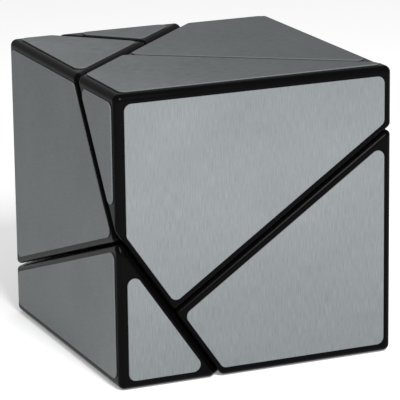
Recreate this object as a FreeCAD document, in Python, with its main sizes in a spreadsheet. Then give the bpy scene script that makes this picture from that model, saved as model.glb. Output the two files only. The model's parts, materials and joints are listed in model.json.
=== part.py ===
import FreeCAD, Part
import itertools
import math
import os

# A 2x2x2 twisty puzzle of the shape-shifting kind. Outside it is a plain cube, but its core is turned
# and set off centre in that cube, so the eight hollow corner pieces all differ. Inside is a ball-shaped
# track: a core with six posts, six sprung caps, twelve hidden edges and the feet of the eight corners.
# Core frame: origin at the core's centre, X to the back, Y up, Z along the main axis to the right half.
# Row frame: origin at the middle of the bottom, +Z up, the front towards -Y.

doc = FreeCAD.newDocument("twisty_cube")
sheet = doc.addObject("Spreadsheet::Sheet", "sizes")

SIZES = (
    ("cube_side", 60.0, "across the plastic, mm"),
    ("sticker_thickness", 0.25, "mm"),
    ("sticker_corner", 1.5, "largest corner radius of a sticker, mm"),
    ("sticker_rim", 0.5, "bare flat plastic from a cube edge's rounding to a sticker, mm"),
    ("main_rim", 0.1, "the same along the main cut, mm"),
    ("left_cross_rim", 0.5, "the same along the left half's upright cut, mm"),
    ("left_level_rim", 0.4, "the same along the left half's level cut, mm"),
    ("right_cross_rim", 0.1, "the same along the right half's upright cut, mm"),
    ("right_level_rim", 0.7, "the same along the right half's level cut, mm"),
    ("edge_round", 1.35, "radius on the cube's own edges, mm"),
    ("cut_round", 0.9, "radius on the edges that the cuts make, mm"),
    ("top_step", 0.3, "how much lower the right upper back piece's top is, mm"),
    ("shell_wall", 1.8, "mm"),
    ("cut_gap", 0.3, "between two corner pieces, mm"),
    ("axis_heading", -45.0, "of the main axis, from +X, degrees"),
    ("axis_tilt", 25.8, "of the main axis above the horizontal, degrees"),
    ("half_twist", 23.5, "of the right half against the left half, as stored, degrees"),
    ("core_shift", 6.6, "of the core from the cube's middle, along the core's X, mm"),
    ("core_rise", 0.3, "of the core from the cube's middle, straight up, mm"),
    ("foot_inner", 9.0, "inner radius of the feet, mm"),
    ("foot_height", 4.0, "thickness of the feet's layer, mm"),
    ("track_height", 5.4, "thickness of the layer of caps and hidden edges, mm"),
    ("foot_cut", 3.8, "plane that parts the feet, from the core's middle, mm"),
    ("track_cut", 6.4, "plane that parts the track, from the core's middle, mm"),
    ("slide_gap", 0.2, "between two sliding faces of the track, mm"),
    ("bowl_wall", 2.0, "of a corner's bowl, mm"),
    ("glue_gap", 0.05, "between a bowl and its shell, mm"),
    ("core_ball", 5.6, "radius, mm"),
    ("post_radius", 2.7, "mm"),
    ("cap_floor", 1.6, "under the spring, mm"),
    ("spring_well", 2.6, "radius of the well in a cap, mm"),
    ("spring_mean", 1.95, "mean radius of a spring, mm"),
    ("spring_wire", 0.25, "wire radius, mm"),
    ("spring_length", 4.0, "fitted length over the wire, mm"),
    ("spring_turns", 4.0, "turns"),
    ("washer_height", 0.4, "mm"),
    ("screw_radius", 1.0, "shank, mm"),
    ("screw_length", 11.0, "shank, mm"),
    ("head_radius", 2.1, "mm"),
    ("head_height", 1.4, "mm"),
    ("slot_width", 0.6, "of the cross in a screw's head, mm"),
    ("slot_length", 2.7, "of the cross in a screw's head, mm"),
    ("running_gap", 0.25, "radial, between a screw and its cap, mm"),
)
for row, (alias, value, note) in enumerate(SIZES, start=1):
    sheet.set(f"A{row}", alias)
    sheet.set(f"B{row}", str(value))
    sheet.set(f"C{row}", note)
    sheet.setAlias(f"B{row}", alias)
doc.recompute()

GAP = "sizes.slide_gap"
TOP = (2, 1)
Vector, Rotation, Placement = FreeCAD.Vector, FreeCAD.Rotation, FreeCAD.Placement
AXIS_WORDS = (("back", "front"), ("upper", "lower"), ("right", "left"))
FACE_WORDS = {(0, -1): "left_side", (0, 1): "right_side", (1, -1): "front_side", (1, 1): "back_side",
              (2, -1): "bottom", (2, 1): "top"}
# The faces of each corner piece that carry a sticker. The patches left out are too small for one.
STICKERS = {
    (1, 1, 1): ("right_side", "back_side", "top"), (1, 1, -1): ("back_side", "top"),
    (1, -1, 1): ("right_side",), (1, -1, -1): ("right_side", "back_side", "bottom"),
    (-1, 1, 1): ("left_side", "front_side", "top"), (-1, 1, -1): ("left_side", "back_side", "top"),
    (-1, -1, 1): ("right_side", "front_side", "bottom"),
    (-1, -1, -1): ("left_side", "front_side", "back_side", "bottom")}
LOW_PIECE = (1, 1, 1)
ARC_SHARE = 0.45  # most of a sticker's side that the arc at one end may take up
CUT_RIMS = {1: ("right_cross_rim", "right_level_rim", "main_rim"),
            -1: ("left_cross_rim", "left_level_rim", "main_rim")}


def size(alias):
    """The value of a driving dimension."""
    return float(sheet.get(alias))


def make(kind, name, place=None, **expressions):
    """A document object whose properties are bound to expressions over the sheet."""
    thing = doc.addObject(kind, name)
    for prop, expression in expressions.items():
        thing.setExpression(prop, expression)
    if place:
        thing.Placement = place
    return thing


def sphere(name, radius):
    return make("Part::Sphere", name, Radius=radius)


def box(name, place, length, width, height):
    return make("Part::Box", name, place, Length=length, Width=width, Height=height)


def cylinder(name, place, radius, height):
    return make("Part::Cylinder", name, place, Radius=radius, Height=height)


def cut(name, base, tool):
    thing = doc.addObject("Part::Cut", name)
    thing.Base, thing.Tool = base, tool
    return thing


def joined(kind, name, pieces):
    thing = doc.addObject(kind, name)
    thing.Shapes = pieces
    return thing


def fuse(name, pieces):
    return joined("Part::MultiFuse", name, pieces)


def common(name, pieces):
    return joined("Part::MultiCommon", name, pieces)


# ---- frames --------------------------------------------------------------------------------------
half_side = size("cube_side") / 2
cube_middle = Vector(0, 0, half_side + size("sticker_thickness"))
heading, tilt = math.radians(size("axis_heading")), math.radians(size("axis_tilt"))
axis_z = Vector(math.cos(tilt) * math.cos(heading), math.cos(tilt) * math.sin(heading), math.sin(tilt))
axis_x = Vector(-math.sin(heading), math.cos(heading), 0)
axis_y = axis_z.cross(axis_x)
core_point = cube_middle + axis_x * size("core_shift") + Vector(0, 0, size("core_rise"))
FOOT_OUTER = "sizes.foot_inner + sizes.foot_height"
TRACK_OUTER = f"{FOOT_OUTER} + {GAP} + sizes.track_height"
left_frame = Placement(core_point, Rotation(axis_x, axis_y, axis_z, "ZXY"))
twist = Placement(Vector(), Rotation(Vector(0, 0, 1), size("half_twist")))
right_frame = left_frame.multiply(twist)
reach = 2 * size("cube_side")  # beyond the cube from anywhere in it
REACH = "sizes.cube_side * 2"
parts = {}


def half_of(signs):
    """The frame of the half that a piece with these signs belongs to."""
    return right_frame if signs[2] > 0 else left_frame


def words(signs):
    """A piece's name from the sign of each core axis: left or right half first."""
    order = (2, 1, 0)
    return "_".join(AXIS_WORDS[axis][0 if signs[axis] > 0 else 1] for axis in order if signs[axis])


def octant(name, signs, offset, frame=None):
    """A large box with one corner near the core, on the outer side of three planes."""
    corner = Vector(*(offset if sign > 0 else -offset - reach for sign in signs))
    place = Placement(corner, Rotation())
    return box(name, frame.multiply(place) if frame else place, REACH, REACH, REACH)


def column(name, signs, offset, half_width, width_expression):
    """As octant, but centred, and this wide, along each axis whose sign is 0."""
    spans = [width_expression if sign == 0 else REACH for sign in signs]
    corner = [-half_width if sign == 0 else (offset if sign > 0 else -offset - reach) for sign in signs]
    return box(name, Placement(Vector(*corner), Rotation()), *spans)


def finish(name, thing, place=None):
    """Names a finished sub-part, which becomes the node of that name."""
    thing.Label = name
    if place:
        thing.Placement = place
    parts[name] = thing
    return thing


# ---- shells of the corner pieces -----------------------------------------------------------------
def cube_box(name, inset, inset_expression, step=0, step_expression="0"):
    """The cube, this much smaller on every side, and lower at the top by the step."""
    low = cube_middle - Vector(1, 1, 1) * (half_side - inset)
    span = f"sizes.cube_side - 2 * ({inset_expression})"
    return box(name, Placement(low, Rotation()), span, span, f"{span} - {step_expression}")


solid_cube = cube_box("solid_cube", 0, "0")
hollow_cube = cube_box("hollow_cube", size("shell_wall"), "sizes.shell_wall")
low_solid_cube = cube_box("low_solid_cube", 0, "0", size("top_step"), "sizes.top_step")
low_hollow_cube = cube_box("low_hollow_cube", size("shell_wall"), "sizes.shell_wall",
                           size("top_step"), "sizes.top_step")
bowl_seat = sphere("bowl_seat", f"{TRACK_OUTER} + {GAP} + sizes.bowl_wall + sizes.glue_gap")
bowl_seat.Placement = left_frame


def is_cube_face(face):
    """True for a flat face square to the row frame's axes."""
    normal = face.normalAt(0, 0)
    return max(abs(normal.x), abs(normal.y), abs(normal.z)) > 0.9999


def edge_radius(block, edge):
    """A cube edge's rounding where two cube faces meet, and a cut's everywhere else."""
    sides = block.ancestorsOfType(edge, Part.Face)
    return size("edge_round") if all(is_cube_face(face) for face in sides) else size("cut_round")


def corner_shell(signs):
    """The outer shell of a corner piece: cube walls and cut walls, open towards the core."""
    name, frame, low = words(signs), half_of(signs), signs == LOW_PIECE
    outer = octant(f"{name}_zone", signs, size("cut_gap") / 2, frame)
    inner = octant(f"{name}_inner", signs, size("cut_gap") / 2 + size("shell_wall"), frame)
    block = common(f"{name}_block", [low_solid_cube if low else solid_cube, outer])
    hollow = common(f"{name}_hollow", [low_hollow_cube if low else hollow_cube, inner])
    doc.recompute()
    rounded = doc.addObject("Part::Fillet", f"{name}_rounded")
    rounded.Base = block
    radii = [edge_radius(block.Shape, edge) for edge in block.Shape.Edges]
    rounded.Edges = [(number, radius, radius) for number, radius in enumerate(radii, start=1)]
    opened = cut(f"{name}_opened", rounded, bowl_seat)
    finish(f"{name}_shell", cut(f"{name}_walls", opened, hollow))


OCTANTS = [tuple(signs) for signs in itertools.product((1, -1), repeat=3)]
for octant_signs in OCTANTS:
    corner_shell(octant_signs)

# ---- stickers ------------------------------------------------------------------------------------
def clip(outline, point, inward):
    """The part of a convex outline on the inward side of a line."""
    kept = []
    for start, end in zip(outline, outline[1:] + outline[:1]):
        start_side, end_side = (start - point).dot(inward), (end - point).dot(inward)
        if start_side >= 0:
            kept.append(start)
        if start_side * end_side < 0:
            kept.append(start + (end - start) * (start_side / (start_side - end_side)))
    return kept


def face_frame(signs, axis, sign):
    """A frame on a piece's cube face: Z out of the plastic, at the cube face's middle."""
    normal = Vector(*(sign if index == axis else 0 for index in range(3)))
    up = Vector(0, 0, 1) if axis != 2 else Vector(0, 1, 0)
    step = size("top_step") if signs == LOW_PIECE and (axis, sign) == TOP else 0
    place = cube_middle + normal * (half_side - step)
    return Placement(place, Rotation(up.cross(normal), up, normal, "ZXY"))


def setback(face_normal, cut_normal, rim):
    """Along the face, from a cut's line to the sticker's edge, for a piece whose cut faces cut_normal."""
    turn = face_normal.getAngle(cut_normal)
    rounding = size("cut_round") * math.tan(turn / 2)
    return size("cut_gap") / 2 / math.sin(turn) + rounding + size(rim)


def sticker_outline(signs, place):
    """The sticker's corners in its face's own frame."""
    frame, normal = half_of(signs), place.Rotation.multVec(Vector(0, 0, 1))
    to_face = place.inverse()
    core_on_face = to_face.multVec(frame.Base)
    edge = half_side - size("edge_round") - size("sticker_rim")
    outline = [Vector(-edge, -edge), Vector(edge, -edge), Vector(edge, edge), Vector(-edge, edge)]
    for axis, sign in enumerate(signs):
        inward = frame.Rotation.multVec(Vector(*(sign if index == axis else 0 for index in range(3))))
        local = to_face.Rotation.multVec(inward)
        slope = math.hypot(local.x, local.y)
        along_face = Vector(local.x, local.y) / slope
        cut_line = core_on_face.dot(local) / slope
        limit = along_face * (cut_line + setback(normal, inward * -1, CUT_RIMS[signs[2]][axis]))
        outline = clip(outline, limit, along_face)
    return outline


def rounded_outline(outline):
    """Lines and arcs round a convex outline, each arc as large as its two sides allow."""
    count, pieces, arcs = len(outline), [], []
    for index, corner in enumerate(outline):
        before, after = outline[index - 1] - corner, outline[(index + 1) % count] - corner
        half_angle = before.getAngle(after) / 2
        room = ARC_SHARE * min(before.Length, after.Length)
        reach_back = min(size("sticker_corner") / math.tan(half_angle), room)
        radius = reach_back * math.tan(half_angle)
        first = corner + Vector(before).normalize() * reach_back
        last = corner + Vector(after).normalize() * reach_back
        bisector = (Vector(before).normalize() + Vector(after).normalize()).normalize()
        centre = corner + bisector * (radius / math.sin(half_angle))
        arcs.append((first, centre - bisector * radius, last))
    for index, (first, middle, last) in enumerate(arcs):
        pieces.append(Part.Arc(first, middle, last))
        pieces.append(Part.LineSegment(last, arcs[(index + 1) % count][0]))
    return pieces


def sticker(signs, axis, sign):
    """A die-cut sticker on one face of a corner piece."""
    place = face_frame(signs, axis, sign)
    outline = sticker_outline(signs, place)
    name = f"{words(signs)}_sticker_{FACE_WORDS[axis, sign]}"
    body = doc.addObject("PartDesign::Body", name)
    plane = next(item for item in body.Origin.OriginFeatures if item.Role == "XY_Plane")
    sketch = body.newObject("Sketcher::SketchObject", f"{name}_outline")
    sketch.AttachmentSupport = [(plane, "")]
    sketch.MapMode = "FlatFace"
    sketch.addGeometry(rounded_outline(outline))
    pad = body.newObject("PartDesign::Pad", f"{name}_film")
    pad.Profile = sketch
    pad.setExpression("Length", "sizes.sticker_thickness")
    finish(name, body, place)


for octant_signs, faces in STICKERS.items():
    for (face_axis, face_sign), face_word in FACE_WORDS.items():
        if face_word in faces:
            sticker(octant_signs, face_axis, face_sign)

# ---- the track: feet, hidden edges and caps ------------------------------------------------------
gap = size("slide_gap")
foot_plane, track_plane = size("foot_cut"), size("track_cut")
foot_edge, track_edge = foot_plane + gap / 2, track_plane + gap / 2
foot_hole, track_hole = foot_plane - gap / 2, track_plane - gap / 2
FOOT_WIDTH, TRACK_WIDTH = f"2 * sizes.foot_cut - {GAP}", f"2 * sizes.track_cut - {GAP}"
inner_ball = sphere("inner_ball", "sizes.foot_inner")
foot_ball = sphere("foot_ball", FOOT_OUTER)
track_inner_ball = sphere("track_inner_ball", f"{FOOT_OUTER} + {GAP}")
track_ball = sphere("track_ball", TRACK_OUTER)
bowl_inner_ball = sphere("bowl_inner_ball", f"{TRACK_OUTER} + {GAP}")
bowl_ball = sphere("bowl_ball", f"{TRACK_OUTER} + {GAP} + sizes.bowl_wall")
foot_layer = cut("foot_layer", foot_ball, inner_ball)
track_layer = cut("track_layer", track_ball, track_inner_ball)
neck_layer = cut("neck_layer", track_ball, inner_ball)
bowl_layer = cut("bowl_layer", bowl_ball, bowl_inner_ball)
stalk_layer = cut("stalk_layer", bowl_ball, inner_ball)


def corner_foot(signs):
    """The inner half of a corner piece: bowl, stalk and foot in one moulding, glued into its shell."""
    name = f"{words(signs)}_foot"
    bowl_zone = octant(f"{name}_bowl_zone", signs, size("cut_gap") / 2)
    stalk_zone = octant(f"{name}_stalk_zone", signs, track_edge)
    foot_zone = octant(f"{name}_foot_zone", signs, foot_edge)
    bowl = common(f"{name}_bowl", [bowl_layer, bowl_zone])
    stalk = common(f"{name}_stalk", [stalk_layer, stalk_zone])
    toe = common(f"{name}_toe", [foot_layer, foot_zone])
    finish(name, fuse(f"{name}_moulding", [bowl, stalk, toe]), half_of(signs))


def hidden_edge(signs):
    """A hidden edge: it slides between four corners' feet and holds them down with its wings."""
    name = f"hidden_edge_{words(signs)}"
    wings = common(f"{name}_wings",
                   [track_layer, column(f"{name}_wing_zone", signs, track_edge, track_hole, TRACK_WIDTH)])
    neck = common(f"{name}_neck",
                  [neck_layer, column(f"{name}_neck_zone", signs, track_edge, foot_hole, FOOT_WIDTH)])
    toe = common(f"{name}_toe",
                 [foot_layer, column(f"{name}_toe_zone", signs, foot_edge, foot_hole, FOOT_WIDTH)])
    finish(name, fuse(f"{name}_moulding", [wings, neck, toe]), half_of(signs))


def along(signs):
    """The turn that takes +Z to the core axis that these signs name."""
    return Placement(Vector(), Rotation(Vector(0, 0, 1), Vector(*signs)))


def cap(signs):
    """A centre cap: it turns on its post, under its spring, and holds the hidden edges down."""
    name = f"cap_{words(signs)}"
    head = common(f"{name}_head",
                  [track_layer, column(f"{name}_head_zone", signs, 0, track_hole, TRACK_WIDTH)])
    stem = common(f"{name}_stem",
                  [neck_layer, column(f"{name}_stem_zone", signs, 0, foot_hole, FOOT_WIDTH)])
    blank = fuse(f"{name}_blank", [head, stem])
    well_floor = Placement(Vector(0, 0, size("foot_inner") + size("cap_floor")), Rotation())
    turn = along(signs)
    well = cylinder(f"{name}_well", turn.multiply(well_floor), "sizes.spring_well", TRACK_OUTER)
    hole = cylinder(f"{name}_hole", turn, "sizes.screw_radius + sizes.running_gap", TRACK_OUTER)
    finish(name, cut(f"{name}_moulding", blank, fuse(f"{name}_bores", [well, hole])), half_of(signs))


TRIPLES = [tuple(signs) for signs in itertools.product((1, 0, -1), repeat=3)]
AXES = [signs for signs in TRIPLES if signs.count(0) == 2]
for octant_signs in OCTANTS:
    corner_foot(octant_signs)
for edge_signs in TRIPLES:
    if edge_signs.count(0) == 1:
        hidden_edge(edge_signs)
for cap_signs in AXES:
    cap(cap_signs)

# ---- core, screws, washers and springs -----------------------------------------------------------
POST_REACH = f"sizes.foot_inner - {GAP}"
RUNS_PER_TURN = 12  # straight runs in each turn of a spring
spring_seat = size("foot_inner") + size("cap_floor") + size("glue_gap")
washer_seat = spring_seat + size("spring_length") + size("glue_gap")
head_seat = washer_seat + size("washer_height")


def lifted(signs, height):
    """A place on a core axis, this far out, with Z along the axis."""
    return along(signs).multiply(Placement(Vector(0, 0, height), Rotation()))


def core():
    """The core: a ball with six posts, each with a screw hole and a domed end."""
    posts, holes = [], []
    for signs in AXES:
        word = words(signs)
        posts.append(cylinder(f"post_{word}", along(signs), "sizes.post_radius", POST_REACH))
        hole_start = lifted(signs, head_seat - size("screw_length"))
        holes.append(cylinder(f"post_hole_{word}", hole_start, "sizes.screw_radius", "sizes.foot_inner"))
    ball = sphere("core_middle", "sizes.core_ball")
    domed = common("core_domed", [fuse("core_blank", [ball] + posts), sphere("post_dome", POST_REACH)])
    finish("core", cut("core_moulding", domed, fuse("core_holes", holes)), left_frame)


def screw(signs):
    word = words(signs)
    head = cylinder(f"screw_head_{word}", lifted(signs, head_seat), "sizes.head_radius", "sizes.head_height")
    shank_start = lifted(signs, head_seat - size("screw_length"))
    shank = cylinder(f"screw_shank_{word}", shank_start, "sizes.screw_radius", "sizes.screw_length")
    bars = []
    for angle in (0, 90):
        start = Vector(-size("slot_length") / 2, -size("slot_width") / 2, size("head_height") / 2)
        turned = Placement(Vector(), Rotation(Vector(0, 0, 1), angle)).multiply(Placement(start, Rotation()))
        bars.append(box(f"screw_slot_{word}_{angle}", lifted(signs, head_seat).multiply(turned),
                        "sizes.slot_length", "sizes.slot_width", "sizes.head_height"))
    blank = fuse(f"screw_blank_{word}", [head, shank])
    return cut(f"screw_{word}", blank, fuse(f"screw_cross_{word}", bars))


def washer(signs):
    word, place = words(signs), lifted(signs, washer_seat)
    disc = cylinder(f"washer_disc_{word}", place, "sizes.spring_well - sizes.running_gap",
                    "sizes.washer_height")
    hole = cylinder(f"washer_hole_{word}", place, "sizes.screw_radius + sizes.glue_gap",
                    "sizes.washer_height")
    return cut(f"washer_{word}", disc, hole)


def spring(signs):
    """A compression spring round the screw, between the cap's floor and the washer."""
    word, wire = words(signs), size("spring_wire")
    count = round(size("spring_turns") * RUNS_PER_TURN)
    rise = (size("spring_length") - 2 * wire) / count
    step = 2 * math.pi / RUNS_PER_TURN
    points = [Vector(math.cos(step * index), math.sin(step * index)) * size("spring_mean")
              + Vector(0, 0, rise * index) for index in range(count + 1)]
    line = doc.addObject("Part::Polygon", f"spring_line_{word}")
    line.Nodes, line.Close = points, False
    start = Placement(points[0], Rotation(Vector(0, 0, 1), points[1] - points[0]))
    section = make("Part::Circle", f"spring_section_{word}", start, Radius="sizes.spring_wire")
    coil = doc.addObject("Part::Sweep", f"spring_{word}")
    coil.Sections = [section]
    coil.Spine = (line, [f"Edge{number}" for number in range(1, count + 1)])
    coil.Solid, coil.Frenet, coil.Transition = True, False, "Right corner"
    coil.Placement = lifted(signs, spring_seat + wire)
    return coil


def group(name, pieces):
    """Identical small pieces that share one node."""
    thing = doc.addObject("Part::Compound", name)
    thing.Links = pieces
    finish(name, thing, left_frame)


core()
group("axis_screws", [screw(signs) for signs in AXES])
group("axis_washers", [washer(signs) for signs in AXES])
group("axis_springs", [spring(signs) for signs in AXES])

# ---- checks and export ---------------------------------------------------------------------------
doc.recompute()
for thing in doc.Objects:
    if "Invalid" in thing.State or "Error" in thing.State:
        raise SystemExit(f"{thing.Name} failed: {thing.State}")
for node, thing in parts.items():
    if thing.Shape.isNull() or not thing.Shape.isValid() or not thing.Shape.Solids:
        raise SystemExit(f"{node} has no valid solid")
os.makedirs("parts", exist_ok=True)
for node, thing in parts.items():
    thing.Shape.exportStep(f"parts/{node}.step")
    print(node, len(thing.Shape.Solids), round(thing.Shape.Volume, 2))
print(len(parts), "nodes")
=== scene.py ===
import json
import math
import random

import bmesh
import bpy
from mathutils import Matrix, Vector


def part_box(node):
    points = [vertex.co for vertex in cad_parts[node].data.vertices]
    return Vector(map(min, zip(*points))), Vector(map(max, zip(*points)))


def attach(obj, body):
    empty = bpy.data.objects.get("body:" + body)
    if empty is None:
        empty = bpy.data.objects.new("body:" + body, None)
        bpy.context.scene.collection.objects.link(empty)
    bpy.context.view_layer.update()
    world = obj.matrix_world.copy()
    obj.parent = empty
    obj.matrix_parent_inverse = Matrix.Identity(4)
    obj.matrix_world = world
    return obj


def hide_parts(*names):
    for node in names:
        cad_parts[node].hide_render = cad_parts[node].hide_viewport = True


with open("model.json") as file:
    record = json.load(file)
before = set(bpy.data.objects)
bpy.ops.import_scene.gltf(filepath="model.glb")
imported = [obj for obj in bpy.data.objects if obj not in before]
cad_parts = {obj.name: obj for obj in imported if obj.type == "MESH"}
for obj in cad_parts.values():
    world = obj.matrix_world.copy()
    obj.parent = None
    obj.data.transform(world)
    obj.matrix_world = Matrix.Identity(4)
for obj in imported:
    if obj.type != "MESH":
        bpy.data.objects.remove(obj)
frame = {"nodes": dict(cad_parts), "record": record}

# A 2x2x2 shape-shifting puzzle cube: glossy black corner shells with brushed silver film on their faces.
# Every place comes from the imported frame. Lengths are metres.

random.seed(7)
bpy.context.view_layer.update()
NODES, RECORD = frame["nodes"], frame["record"]
BODY_OF = {node: body for body, nodes in RECORD["behaviour"]["bodies"].items() for node in nodes}
SLOT_OF = {part["node"]: part["material_slot"] for part in RECORD["subparts"]}
SHELL_BOXES = [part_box(name) for name in NODES if name.endswith("_shell")]
plastic_low = Vector(min(box[0][axis] for box in SHELL_BOXES) for axis in range(3))
plastic_high = Vector(max(box[1][axis] for box in SHELL_BOXES) for axis in range(3))
middle = (plastic_low + plastic_high) / 2
side = plastic_high.x - plastic_low.x

# ---- camera: the photograph's viewing angle --------------------------------------------------------
VIEW_AZIMUTH = 23.3         # degrees, from the front towards the cube's left side
VIEW_ELEVATION = 15.2       # degrees, above the horizontal
VIEW_ROLL = -0.74           # degrees
VIEW_DISTANCE = 9.70        # in cube sides
AIM_RIGHT, AIM_UP = 0.0088, -0.0259   # of the aim from the cube's middle, in cube sides
SENSOR_WIDTH = 36.0         # mm
LENS = 251.1                # mm


def add_camera():
    azimuth, elevation = math.radians(VIEW_AZIMUTH), math.radians(VIEW_ELEVATION)
    forward = Vector((math.sin(azimuth) * math.cos(elevation), math.cos(azimuth) * math.cos(elevation),
                      -math.sin(elevation)))
    right = forward.cross(Vector((0, 0, 1))).normalized()
    up = right.cross(forward)
    roll = Matrix.Rotation(math.radians(VIEW_ROLL), 3, -forward)
    right, up = roll @ right, roll @ up
    aim = middle + (right * AIM_RIGHT + up * AIM_UP) * side
    data = bpy.data.cameras.new("camera")
    data.sensor_width, data.lens = SENSOR_WIDTH, LENS
    data.clip_start, data.clip_end = 0.01, 50
    camera = bpy.data.objects.new("camera", data)
    rotation = Matrix((right, up, -forward)).transposed().to_4x4()
    camera.matrix_world = Matrix.Translation(aim - forward * VIEW_DISTANCE * side) @ rotation
    bpy.context.scene.collection.objects.link(camera)
    bpy.context.scene.camera = camera


# ---- node helpers ----------------------------------------------------------------------------------
class Shader:
    """A small builder for node materials."""

    def __init__(self, name):
        self.material = bpy.data.materials.new(name)
        self.material.use_nodes = True
        self.tree = self.material.node_tree
        self.surface = self.tree.nodes["Principled BSDF"]

    def node(self, kind, inputs=None, **settings):
        made = self.tree.nodes.new(kind)
        for key, value in settings.items():
            setattr(made, key, value)
        for key, value in (inputs or {}).items():
            self.feed(made.inputs[key], value)
        return made

    def feed(self, socket, value):
        if isinstance(value, bpy.types.NodeSocket):
            self.tree.links.new(value, socket)
        else:
            socket.default_value = value

    def set(self, **values):
        for key, value in values.items():
            self.feed(self.surface.inputs[key.replace("_", " ")], value)

    def object_point(self, scale=(1, 1, 1)):
        point = self.node("ShaderNodeTexCoord").outputs["Object"]
        mapping = self.node("ShaderNodeMapping", {"Vector": point})
        mapping.inputs["Scale"].default_value = scale
        return mapping.outputs["Vector"]

    def noise(self, vector, scale, detail=2.0, roughness=0.5):
        made = self.node("ShaderNodeTexNoise", {"Vector": vector, "Scale": scale, "Detail": detail,
                                                "Roughness": roughness})
        return made.outputs["Fac"]

    def span(self, value, low_in, high_in, low_out, high_out):
        made = self.node("ShaderNodeMapRange", {"Value": value, "From Min": low_in, "From Max": high_in,
                                                "To Min": low_out, "To Max": high_out})
        return made.outputs["Result"]

    def math(self, operation, first, second):
        made = self.node("ShaderNodeMath", operation=operation)
        self.feed(made.inputs[0], first)
        self.feed(made.inputs[1], second)
        return made.outputs["Value"]

    def spread(self, noise, low, high):
        return self.span(noise, *NOISE_RANGE, low, high)

    def blend(self, value, dark, light):
        made = self.node("ShaderNodeMix", data_type="RGBA")
        self.feed(made.inputs["Factor"], value)
        self.feed(made.inputs["A"], (*dark, 1))
        self.feed(made.inputs["B"], (*light, 1))
        return made.outputs["Result"]

    def bump(self, height, distance, strength=1.0):
        made = self.node("ShaderNodeBump", {"Height": height, "Distance": distance, "Strength": strength})
        return made.outputs["Normal"]


# ---- materials -------------------------------------------------------------------------------------
# Each has a pair of colours that its noise blends between. Noise scales are per metre, on a film per mm.
NOISE_RANGE = (0.3, 0.7)                # what a noise value mostly lies between
EDGE_RANGE = (0.5, 0.6)                 # pointiness from a flat wall to a rounded edge
PLASTIC_COLOURS = (0.0006, 0.0006, 0.0007), (0.0022, 0.0022, 0.0024)
PLASTIC_GLOSS = 0.028                   # specular level
INNER_COLOURS = (0.012, 0.012, 0.013), (0.02, 0.02, 0.021)
STEEL_COLOURS = (0.5, 0.5, 0.5), (0.66, 0.66, 0.67)
STEEL_STRETCH = (1, 1, 14)              # turning marks lie across the axis of a screw
FILM_EDGE_COLOURS = (0.10, 0.105, 0.107), (0.15, 0.157, 0.16)
FILM_EDGE_GLOSS = 0.1
SILVER_COLOURS = (0.115, 0.124, 0.127), (0.296, 0.319, 0.327)
SILVER_TINT = (0.55, 0.55, 0.55, 1)     # of its reflection at a low angle
BRUSHED = 0.95                          # how far the grain spreads a reflection to one side
GRAIN_MAP = "grain"                     # a film's UV map: U across the grain, V along it, in millimetres
LINE_SCALE = 4.8
LINE_STRETCH = 14.0                     # how much longer a grain line is than it is wide


def black_plastic():
    """Glossy moulded shell, a little paler and duller at its edges, where it is handled."""
    shader = Shader("black_plastic")
    point = shader.object_point()
    cloudy = shader.noise(point, 180.0, 3.0)
    fine = shader.noise(point, 2600.0, 2.0)
    edge = shader.node("ShaderNodeNewGeometry").outputs["Pointiness"]
    handled = shader.math("ADD", shader.spread(cloudy, 0.3, 0.42), shader.span(edge, *EDGE_RANGE, 0.0, 0.3))
    dulled = shader.span(edge, *EDGE_RANGE, 0.0, 0.04)
    roughness = shader.math("ADD", shader.spread(cloudy, 0.15, 0.24), dulled)
    shader.set(Base_Color=shader.blend(handled, *PLASTIC_COLOURS), Roughness=roughness,
               Specular_IOR_Level=PLASTIC_GLOSS, Normal=shader.bump(fine, 0.000003))
    return shader.material


def inner_plastic():
    """Matt moulded plastic of the mechanism."""
    shader = Shader("inner_plastic")
    fine = shader.noise(shader.object_point(), 1500.0, 3.0)
    shader.set(Base_Color=shader.blend(fine, *INNER_COLOURS), Roughness=shader.spread(fine, 0.42, 0.55),
               Normal=shader.bump(fine, 0.00001))
    return shader.material


def steel():
    """Turned and drawn steel of the screws, springs and washers."""
    shader = Shader("steel_hardware")
    grain = shader.noise(shader.object_point(STEEL_STRETCH), 900.0, 2.0)
    shader.set(Base_Color=shader.blend(grain, *STEEL_COLOURS), Metallic=1.0,
               Roughness=shader.spread(grain, 0.25, 0.4))
    return shader.material


def film_edge():
    """The cut edge of the film."""
    shader = Shader("film_edge")
    fine = shader.noise(shader.object_point(), 4000.0, 2.0)
    shader.set(Base_Color=shader.blend(fine, *FILM_EDGE_COLOURS), Roughness=shader.spread(fine, 0.5, 0.65),
               Specular_IOR_Level=FILM_EDGE_GLOSS)
    return shader.material


def brushed_silver():
    """Metallised film with fine brushed lines, which spread its reflections across the grain."""
    shader = Shader("brushed_silver")
    place = shader.node("ShaderNodeUVMap", uv_map=GRAIN_MAP).outputs["UV"]
    stretched = shader.node("ShaderNodeMapping", {"Vector": place})
    stretched.inputs["Scale"].default_value = (1, 1 / LINE_STRETCH, 1)
    lines = shader.noise(stretched.outputs["Vector"], LINE_SCALE, 3.0, 0.7)
    broad = shader.noise(place, 0.06, 2.0)
    across = shader.node("ShaderNodeTangent", direction_type="UV_MAP", uv_map=GRAIN_MAP)
    roughness = shader.math("ADD", shader.spread(lines, 0.36, 0.42), shader.spread(broad, -0.02, 0.02))
    shader.set(Base_Color=shader.blend(lines, *SILVER_COLOURS), Metallic=1.0, Specular_Tint=SILVER_TINT,
               Anisotropic=BRUSHED, Tangent=across.outputs["Tangent"], Roughness=roughness,
               Normal=shader.bump(lines, 0.000004))
    return shader.material


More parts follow.
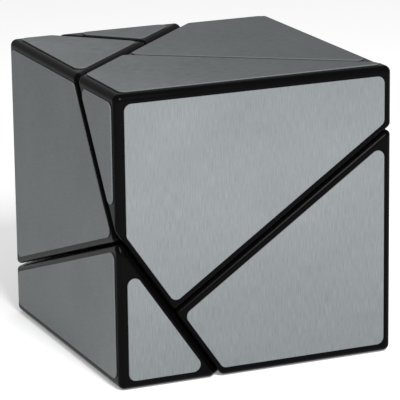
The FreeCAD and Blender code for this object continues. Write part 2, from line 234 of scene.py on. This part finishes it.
# ---- brushed film: one die-cut piece for each sticker node -----------------------------------------
X, Y, Z = Vector((1, 0, 0)), Vector((0, 1, 0)), Vector((0, 0, 1))
FACES = {  # outward direction, and the direction of the grain
    "left_side": (-X, Y), "right_side": (X, Y), "front_side": (-Y, Z), "back_side": (Y, Z),
    "bottom": (-Z, X), "top": (Z, X)}
FILM_MATERIALS = (brushed_silver(), film_edge())
FILM_ROUND = 0.00006        # radius on a film's outer rim
FILM_STEPS = 3
FACING = 0.99               # cosine: a film's top face points at least this nearly outward
MM = 1000.0                 # millimetres in a metre
GRAIN_SPREAD = 500.0        # millimetres of the grain pattern that the films are cut from
WELD = 0.000001             # points this near are one
FLAT_TURN = math.radians(1)  # faces that turn by less are one


def film(name):
    """A film with a softened outer rim, cut to the outline of its CAD node."""
    body_word, face = name.split("_sticker_")
    out, along = FACES[face]
    across = along.cross(out)
    form = bmesh.new()
    form.from_mesh(NODES[name].data)
    bmesh.ops.remove_doubles(form, verts=form.verts, dist=WELD)
    bmesh.ops.dissolve_limit(form, angle_limit=FLAT_TURN, verts=form.verts, edges=form.edges)
    form.normal_update()
    outer = [panel for panel in form.faces if panel.normal.dot(out) > FACING]
    rim = [edge for edge in form.edges if sum(panel in outer for panel in edge.link_faces) == 1]
    bmesh.ops.bevel(form, geom=rim, offset=FILM_ROUND, segments=FILM_STEPS, profile=0.5, affect="EDGES")
    for panel in form.faces:
        panel.smooth = panel.normal.dot(out) < FACING
        panel.material_index = int(panel.smooth)
    grain = form.loops.layers.uv.new(GRAIN_MAP)
    start = Vector((random.uniform(0, GRAIN_SPREAD), random.uniform(0, GRAIN_SPREAD)))
    for panel in form.faces:
        for loop in panel.loops:
            point = loop.vert.co * MM
            loop[grain].uv = start + Vector((point.dot(across), point.dot(along)))
    mesh = bpy.data.meshes.new(f"{body_word}_film_{face}")
    form.to_mesh(mesh)
    form.free()
    for material in FILM_MATERIALS:
        mesh.materials.append(material)
    piece = bpy.data.objects.new(mesh.name, mesh)
    bpy.context.scene.collection.objects.link(piece)
    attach(piece, BODY_OF[name])
    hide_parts(name)


# ---- dress the CAD nodes ---------------------------------------------------------------------------
MATERIALS = {"black_plastic": black_plastic(), "inner_plastic": inner_plastic(), "steel_hardware": steel()}
for node_name, node in NODES.items():
    if "_sticker_" in node_name:
        film(node_name)
    else:
        node.data.materials.clear()
        node.data.materials.append(MATERIALS[SLOT_OF[node_name]])

# ---- stage and light -------------------------------------------------------------------------------
FLOOR_SIZE = 6.0
FLOOR_COLOUR = (0.92, 0.92, 0.92, 1)
FLOOR_ROUGHNESS = 0.9
FLOOR_GLOW = 0.22           # the floor is a lit table top
WHITE = (1, 1, 1, 1)
WORLD_LIGHT = 0.6
KEY_TOWARDS = (-0.04, -0.80, 0.61)                  # direction from the cube's middle
KEY_DISTANCE, KEY_SIZE, KEY_POWER = 0.44, 0.17, 2.6  # power in watts


def add_floor():
    mesh = bpy.data.meshes.new("floor")
    half = FLOOR_SIZE / 2
    mesh.from_pydata([(-half, -half, 0), (half, -half, 0), (half, half, 0), (-half, half, 0)], [],
                     [(0, 1, 2, 3)])
    floor = bpy.data.objects.new("floor", mesh)
    shader = Shader("pale_floor")
    shader.set(Base_Color=FLOOR_COLOUR, Roughness=FLOOR_ROUGHNESS, Specular_IOR_Level=0.0,
               Emission_Color=WHITE, Emission_Strength=FLOOR_GLOW)
    mesh.materials.append(shader.material)
    bpy.context.scene.collection.objects.link(floor)


def add_area(name, place, size, power):
    data = bpy.data.lights.new(name, "AREA")
    data.shape, data.size, data.energy = "SQUARE", size, power
    lamp = bpy.data.objects.new(name, data)
    turn = (middle - place).to_track_quat("-Z", "Y").to_matrix().to_4x4()
    lamp.matrix_world = Matrix.Translation(place) @ turn
    bpy.context.scene.collection.objects.link(lamp)


def add_world(strength):
    world = bpy.data.worlds.new("studio")
    world.use_nodes = True
    background = world.node_tree.nodes["Background"]
    background.inputs["Color"].default_value = WHITE
    background.inputs["Strength"].default_value = strength
    bpy.context.scene.world = world


add_camera()
add_floor()
add_world(WORLD_LIGHT)
add_area("key", middle + Vector(KEY_TOWARDS).normalized() * KEY_DISTANCE, KEY_SIZE, KEY_POWER)
bpy.context.scene.view_settings.view_transform = "Standard"
